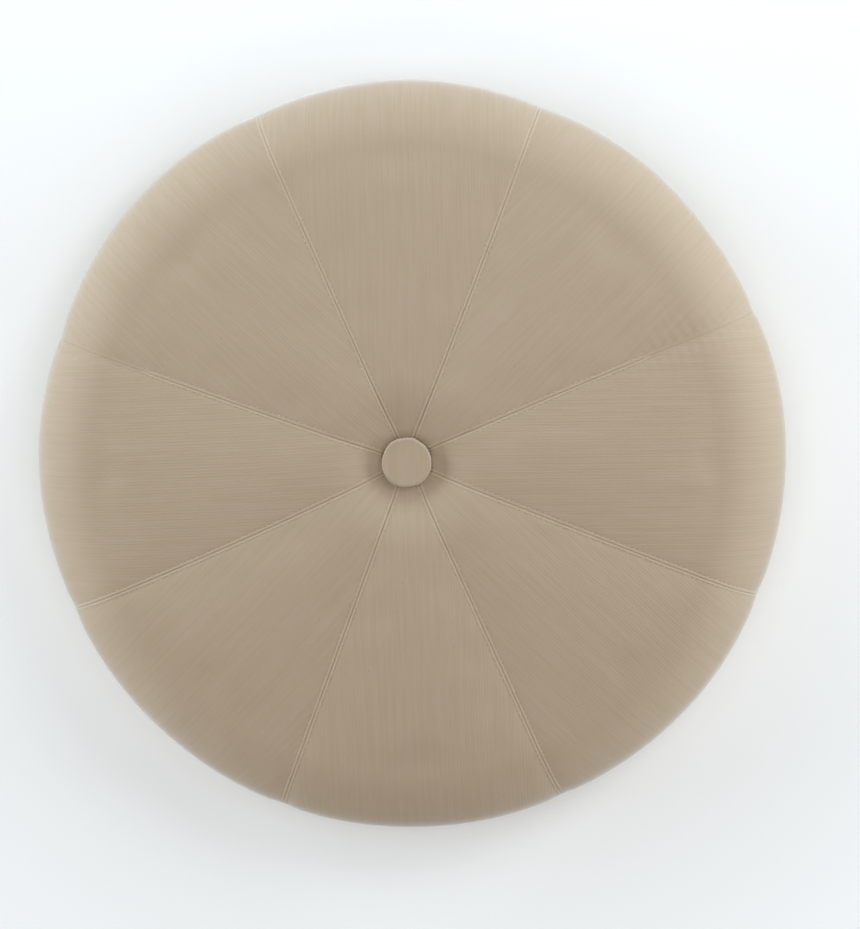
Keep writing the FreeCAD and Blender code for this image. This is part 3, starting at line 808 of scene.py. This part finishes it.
def fabric():
    """Ribbed cloth. The weave attribute is the place across and along the grain, then off the seam."""
    n = Nodes("ribbed_cloth")
    weave = n.node("ShaderNodeAttribute", attribute_name="weave").outputs["Vector"]
    split = n.node("ShaderNodeSeparateXYZ", {0: weave})
    u, v, d = split.outputs
    flat = n.node("ShaderNodeCombineXYZ", {0: u, 1: v, 2: 0.0}).outputs[0]

    def stretched(across, along, offset=0.0):
        scaled = n.vector("MULTIPLY", flat, (1 / across, 1 / along, 0))
        return n.vector("ADD", scaled, (offset, offset * 0.7, offset * 0.3))

    streaks = n.noise(stretched(1.9 * MM, 60 * MM), 1.0, 3.0, 0.55)
    slubs = n.noise(stretched(0.95 * MM, 9 * MM, 5.0), 1.0, 2.0, 0.5)
    fibres = n.noise(stretched(0.35 * MM, 1.6 * MM, 9.0), 1.0, 2.0, 0.6)
    patches = n.noise(stretched(26 * MM, 44 * MM, 2.0), 1.0, 1.0, 0.5)
    wobble = n.math("MULTIPLY", n.math("SUBTRACT", slubs, 0.5), 1.6)
    rib_phase = n.math("ADD", n.math("MULTIPLY", u, 2 * math.pi / (1.7 * MM)), wobble)
    ribs = n.math("MULTIPLY_ADD", n.math("SINE", rib_phase), 0.5, 0.5)
    weft_phase = n.math("MULTIPLY", v, 2 * math.pi / (0.8 * MM))
    weft = n.math("MULTIPLY_ADD", n.math("SINE", weft_phase), 0.5, 0.5)

    scattered = {"Vector": stretched(7 * MM, 9 * MM, 3.0), "Scale": 1.0}
    specks = n.node("ShaderNodeTexVoronoi", scattered, feature="F1")
    rare = n.ramp(n.node("ShaderNodeSeparateColor", {0: specks.outputs["Color"]}).outputs[0], 0.90, 0.95)
    dots = n.math("MULTIPLY", n.ramp(specks.outputs["Distance"], 0.035, 0.06, 1.0, 0.0), rare)

    shade = n.math("MULTIPLY_ADD", n.math("SUBTRACT", streaks, 0.5), 0.045, 1.0)
    shade = n.math("MULTIPLY_ADD", n.math("SUBTRACT", slubs, 0.5), 0.05, shade)
    shade = n.math("MULTIPLY_ADD", n.math("SUBTRACT", fibres, 0.5), 0.06, shade)
    shade = n.math("MULTIPLY_ADD", n.math("SUBTRACT", patches, 0.5), 0.04, shade)
    shade = n.math("MULTIPLY_ADD", n.math("SUBTRACT", ribs, 0.5), 0.014, shade)
    shade = n.math("SUBTRACT", shade, n.math("MULTIPLY", dots, 0.30))
    # tints that stand for shade and highlight: dark in the stitched groove and beside the button,
    # pale on the ridges
    groove = n.line(d, STITCH_OFFSET, 0.2 * MM, 0.6 * MM, 0.02)
    ridge = n.line(d, 1.0 * MM, 0.2 * MM, 0.55 * MM, 0.16)
    beside_button = n.line(v, AT_BUTTON, 0.3 * MM, 1.1 * MM, 0.30)
    shade = n.math("SUBTRACT", n.math("SUBTRACT", shade, beside_button), groove)
    shade = n.math("ADD", shade, ridge)
    warm = n.mix(n.ramp(streaks, 0.35, 0.65), colour("aa967f"), colour("ac9883"))
    base = n.scaled(warm, shade)

    height = n.math("MULTIPLY_ADD", ribs, 0.24, n.math("MULTIPLY", weft, 0.12))
    height = n.math("MULTIPLY_ADD", slubs, 0.5, height)
    height = n.math("MULTIPLY_ADD", fibres, 0.5, height)
    height = n.math("MULTIPLY_ADD", streaks, 0.4, height)
    normal = n.bump(height, 0.16 * MM, 0.7)
    rough = n.ramp(fibres, 0.2, 0.8, 0.82, 0.95)
    return n.finish(
        Base_Color=base, Roughness=rough, Normal=normal, Sheen_Weight=0.75, Sheen_Roughness=0.3,
        Sheen_Tint=(0.88, 0.94, 1.0, 1.0), Specular_IOR_Level=0.15,
    )


def thread():
    n = Nodes("sewing_thread")
    place = n.node("ShaderNodeNewGeometry").outputs["Position"]
    twist = n.node("ShaderNodeTexWave", {"Vector": place, "Scale": 900.0, "Distortion": 1.5, "Detail": 1.0})
    fuzz = n.noise(place, 2600.0, 2.0)
    base = n.mix(twist.outputs["Fac"], colour("a5957e"), colour("bfaf99"))
    normal = n.bump(n.math("ADD", twist.outputs["Fac"], fuzz), 0.08 * MM, 0.7)
    rough = n.ramp(fuzz, 0.2, 0.8, 0.6, 0.8)
    return n.finish(Base_Color=base, Roughness=rough, Normal=normal, Sheen_Weight=0.25)


def wadding_fleece():
    n = Nodes("polyester_wadding")
    place = n.node("ShaderNodeNewGeometry").outputs["Position"]
    loose = n.noise(place, 90.0, 6.0, 0.7, 0.6)
    strands = n.noise(n.vector("MULTIPLY", place, (1.0, 1.0, 4.0)), 420.0, 4.0, 0.7, 1.2)
    base = n.mix(n.ramp(loose, 0.3, 0.7), colour("e6e4de"), colour("fbfaf6"))
    normal = n.bump(n.math("ADD", loose, n.math("MULTIPLY", strands, 0.6)), 1.2 * MM, 0.8)
    return n.finish(
        Base_Color=base, Roughness=n.ramp(strands, 0.3, 0.7, 0.85, 1.0), Normal=normal, Sheen_Weight=0.5,
    )


def foam(name, pale, deep, cell):
    n = Nodes(name)
    place = n.node("ShaderNodeNewGeometry").outputs["Position"]
    cells = n.node("ShaderNodeTexVoronoi", {"Vector": place, "Scale": 1 / cell}, feature="DISTANCE_TO_EDGE")
    cloud = n.noise(place, 40.0, 3.0)
    pores = n.ramp(cells.outputs["Distance"], 0.02, 0.25)
    tone = n.mix(n.ramp(cloud, 0.3, 0.7), colour(pale), colour(deep))
    # painted shade: the pore hollows, dented by the bump below, are coloured up to 18% darker
    base = n.scaled(tone, n.math("MULTIPLY_ADD", pores, -0.18, 1.0))
    normal = n.bump(pores, -0.5 * cell, 0.8)
    return n.finish(Base_Color=base, Roughness=n.ramp(pores, 0.0, 1.0, 0.85, 0.98), Normal=normal)


def plywood():
    n = Nodes("plywood_board")
    place = n.node("ShaderNodeNewGeometry").outputs["Position"]
    facing = n.node("ShaderNodeNewGeometry").outputs["Normal"]
    up = n.math("ABSOLUTE", n.node("ShaderNodeSeparateXYZ", {0: facing}).outputs[2])
    long_grain = n.vector("MULTIPLY", place, (6.0, 90.0, 40.0))
    grain = n.noise(long_grain, 2.0, 6.0, 0.65, 1.4)
    wide_grain = n.vector("MULTIPLY", place, (1.5, 14.0, 0.0))
    figure = {"Vector": wide_grain, "Scale": 1.2, "Distortion": 7.0, "Detail": 2.0}
    rings = n.node("ShaderNodeTexWave", figure)
    face = n.mix(n.ramp(grain, 0.3, 0.7), colour("caa678"), colour("e2c79c"))
    face = n.mix(n.ramp(rings.outputs["Fac"], 0.55, 0.95, 0.0, 0.35), face, colour("b98f5e"))
    height = n.node("ShaderNodeSeparateXYZ", {0: place}).outputs[2]
    ply_phase = n.math("MULTIPLY", height, math.pi / (2.4 * MM))
    plies = n.math("MULTIPLY_ADD", n.math("SINE", ply_phase), 0.5, 0.5)
    edge = n.mix(n.ramp(plies, 0.35, 0.65), colour("a9824f"), colour("dcc094"))
    end_grain = n.noise(place, 900.0, 3.0)
    edge = n.scaled(edge, n.math("MULTIPLY_ADD", n.math("SUBTRACT", end_grain, 0.5), 0.3, 1.0))
    base = n.mix(n.ramp(up, 0.3, 0.7), edge, face)
    normal = n.bump(n.math("ADD", grain, n.math("MULTIPLY", end_grain, 0.4)), 0.3 * MM, 0.5)
    return n.finish(Base_Color=base, Roughness=n.ramp(grain, 0.2, 0.8, 0.5, 0.72), Normal=normal)


def nonwoven():
    n = Nodes("spunbond_cloth")
    place = n.node("ShaderNodeNewGeometry").outputs["Position"]
    fibres = n.noise(n.vector("MULTIPLY", place, (1.0, 2.4, 1.0)), 900.0, 5.0, 0.75, 1.5)
    mottle = n.noise(place, 110.0, 4.0, 0.6)
    grid = n.vector("MULTIPLY", n.vector("ADD", place, (0.3, 0.3, 0.0)), (1.0, 1.0, 0.0))
    slant = {"Vector": grid, "Angle": math.radians(45)}
    turned = n.node("ShaderNodeVectorRotate", slant, rotation_type="Z_AXIS").outputs[0]
    dotted = {"Vector": turned, "Scale": 620.0, "Randomness": 0.08}
    cells = n.node("ShaderNodeTexVoronoi", dotted, feature="F1")
    bonds = n.ramp(cells.outputs["Distance"], 0.18, 0.32, 1.0, 0.0)
    tone = n.mix(n.ramp(mottle, 0.3, 0.7), colour("1c1c1d"), colour("2b2b2c"))
    tone = n.scaled(tone, n.math("MULTIPLY_ADD", n.math("SUBTRACT", fibres, 0.5), 0.9, 1.0))
    base = n.mix(bonds, tone, colour("161617"))
    height = n.math("SUBTRACT", fibres, n.math("MULTIPLY", bonds, 0.9))
    rough = n.ramp(bonds, 0.0, 1.0, 0.85, 0.5)
    normal = n.bump(height, 0.12 * MM, 0.9)
    return n.finish(Base_Color=base, Roughness=rough, Normal=normal, Sheen_Weight=0.15)


def metal(name, pale, deep, rough_low, rough_high, streak=(1.0, 1.0, 1.0), spangle=160.0):
    n = Nodes(name)
    place = n.node("ShaderNodeNewGeometry").outputs["Position"]
    cloud = n.noise(place, spangle, 4.0, 0.6)
    lines = n.noise(n.vector("MULTIPLY", place, streak), 1400.0, 3.0, 0.6)
    base = n.mix(n.ramp(cloud, 0.3, 0.7), colour(deep), colour(pale))
    wear = n.math("MULTIPLY_ADD", lines, 0.5, n.math("MULTIPLY", cloud, 0.5))
    rough = n.ramp(wear, 0.3, 0.7, rough_low, rough_high)
    return n.finish(Base_Color=base, Metallic=1.0, Roughness=rough, Normal=n.bump(lines, 0.02 * MM, 0.4))


def twine():
    n = Nodes("waxed_twine")
    place = n.node("ShaderNodeNewGeometry").outputs["Position"]
    split = n.node("ShaderNodeSeparateXYZ", {0: place})
    lay = n.math("MULTIPLY_ADD", split.outputs[0], 2600.0, n.math("MULTIPLY", split.outputs[2], 2000.0))
    lay = n.math("MULTIPLY_ADD", split.outputs[1], 2600.0, lay)
    lay = n.math("MULTIPLY_ADD", n.math("SINE", lay), 0.5, 0.5)
    fuzz = n.noise(place, 2400.0, 3.0)
    base = n.mix(lay, colour("b9a27c"), colour("dccaa6"))
    return n.finish(
        Base_Color=base, Roughness=n.ramp(fuzz, 0.3, 0.7, 0.45, 0.65),
        Normal=n.bump(n.math("ADD", lay, fuzz), 0.15 * MM, 0.7), Sheen_Weight=0.2,
    )


def paper():
    n = Nodes("studio_floor")
    place = n.node("ShaderNodeNewGeometry").outputs["Position"]
    grain = n.noise(place, 900.0, 3.0)
    base = n.mix(grain, colour("f4f3f1"), colour("f8f7f5"))
    return n.finish(Base_Color=base, Roughness=0.9, Normal=n.bump(grain, 0.02 * MM, 0.1))


def dress(obj, material):
    """Gives a piece its material and slot, and a new piece its body."""
    obj.data.materials.clear()
    obj.data.materials.append(material)
    if obj.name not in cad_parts:
        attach(obj, "root")


cloth = fabric()
for n in range(GORES):
    dress(make_gore(n), cloth)
yarn = thread()
for k in range(GORES):
    dress(make_topstitch(k), yarn)
dress(make_button(), cloth)
dress(make_wadding(), wadding_fleece())
topper, core = make_foams()
dress(topper, foam("soft_foam", "efe6cf", "e6dbbf", 0.9 * MM))
dress(core, foam("firm_foam", "d9dfe2", "cbd3d8", 0.7 * MM))
dress(make_dust_cover(), nonwoven())

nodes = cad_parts
plated = metal("zinc_plate", "cfd2d3", "a9adb0", 0.28, 0.5, spangle=240.0)
for name in ("tee_nuts", "anchor_washer"):
    dress(nodes[name], plated)
wire = metal("galvanised_wire", "c4c7c9", "9da1a4", 0.3, 0.5, (1.0, 6.0, 1.0))
for name in ("cover_staples", "dust_cover_staples"):
    dress(nodes[name], wire)
shell = metal("button_shell", "c9c9c6", "a8a8a4", 0.25, 0.42)
for name in ("button_cap", "button_back", "button_loop"):
    dress(nodes[name], shell)
string = twine()
for name in ("tufting_twine", "twine_knot"):
    dress(nodes[name], string)
dress(nodes["seat_board"], plywood())

# ---------------------------------------------------------------- studio

FLOOR_REACH = 40.0
floor_corners = [(x * FLOOR_REACH, y * FLOOR_REACH, 0) for x, y in ((-1, -1), (1, -1), (1, 1), (-1, 1))]
floor = new_mesh("floor", floor_corners, [[0, 1, 2, 3]], False)
floor.data.materials.append(paper())


AIM = Vector((0, 0, 0.03))


def area_light(name, where, size, power, tint=(1, 1, 1)):
    """A soft light in watts that faces the pad. The camera doesn't see it."""
    data = bpy.data.lights.new(name, "AREA")
    data.shape = "RECTANGLE"
    data.size, data.size_y = size
    data.energy = power
    data.color = tint
    obj = bpy.data.objects.new(name, data)
    obj.location = where
    obj.rotation_mode = "QUATERNION"
    obj.rotation_quaternion = (AIM - Vector(where)).to_track_quat("-Z", "Y")
    obj.visible_camera = False
    bpy.context.scene.collection.objects.link(obj)


COOL = (0.75, 0.89, 1.0)
area_light("back_soft", (0.0, 2.3, 0.5), (3.2, 0.8), 38, COOL)
area_light("right_soft", (2.2, 0.5, 0.5), (2.4, 0.8), 52, COOL)
area_light("left_soft", (-2.2, 0.5, 0.5), (2.4, 0.8), 57, COOL)
area_light("key_soft", (1.2, 1.1, 1.5), (0.7, 0.7), 7)
area_light("top_soft", (0.0, -0.2, 2.5), (2.4, 2.0), 13)
area_light("front_soft", (0.0, -1.9, 1.9), (3.0, 1.2), 16)

world = bpy.data.worlds.new("studio")
world.use_nodes = True
world.node_tree.nodes["Background"].inputs[0].default_value = (1.0, 0.985, 0.965, 1.0)
world.node_tree.nodes["Background"].inputs[1].default_value = 0.27
bpy.context.scene.world = world
bpy.context.scene.view_settings.view_transform = "Standard"

# ---------------------------------------------------------------- camera

# The camera looks down, and leans a little to the right and back from straight above
LEAN_RIGHT, LEAN_BACK = 0.0475, 0.0825
DISTANCE = 3.4
PICTURE_HEIGHT = 0.5348       # of what the picture shows at the pad's widest level
OFF_RIGHT, OFF_DOWN = 0.01093, 0.00520
SENSOR = 36.0

camera_data = bpy.data.cameras.new("camera")
camera = bpy.data.objects.new("camera", camera_data)
bpy.context.scene.collection.objects.link(camera)
bpy.context.scene.camera = camera
away = Vector((LEAN_RIGHT, LEAN_BACK, 1.0)).normalized()
up = (Vector((0, 1, 0)) - away * away.y).normalized()
right = up.cross(away)
target = Vector((0, 0, WIDEST_LEVEL)) + right * OFF_RIGHT - up * OFF_DOWN
axes = Matrix((right, up, away)).transposed()
camera.matrix_world = Matrix.Translation(target + away * DISTANCE) @ axes.to_4x4()
camera_data.sensor_width = SENSOR
camera_data.lens = SENSOR * DISTANCE / PICTURE_HEIGHT
camera_data.clip_start, camera_data.clip_end = 0.1, 30
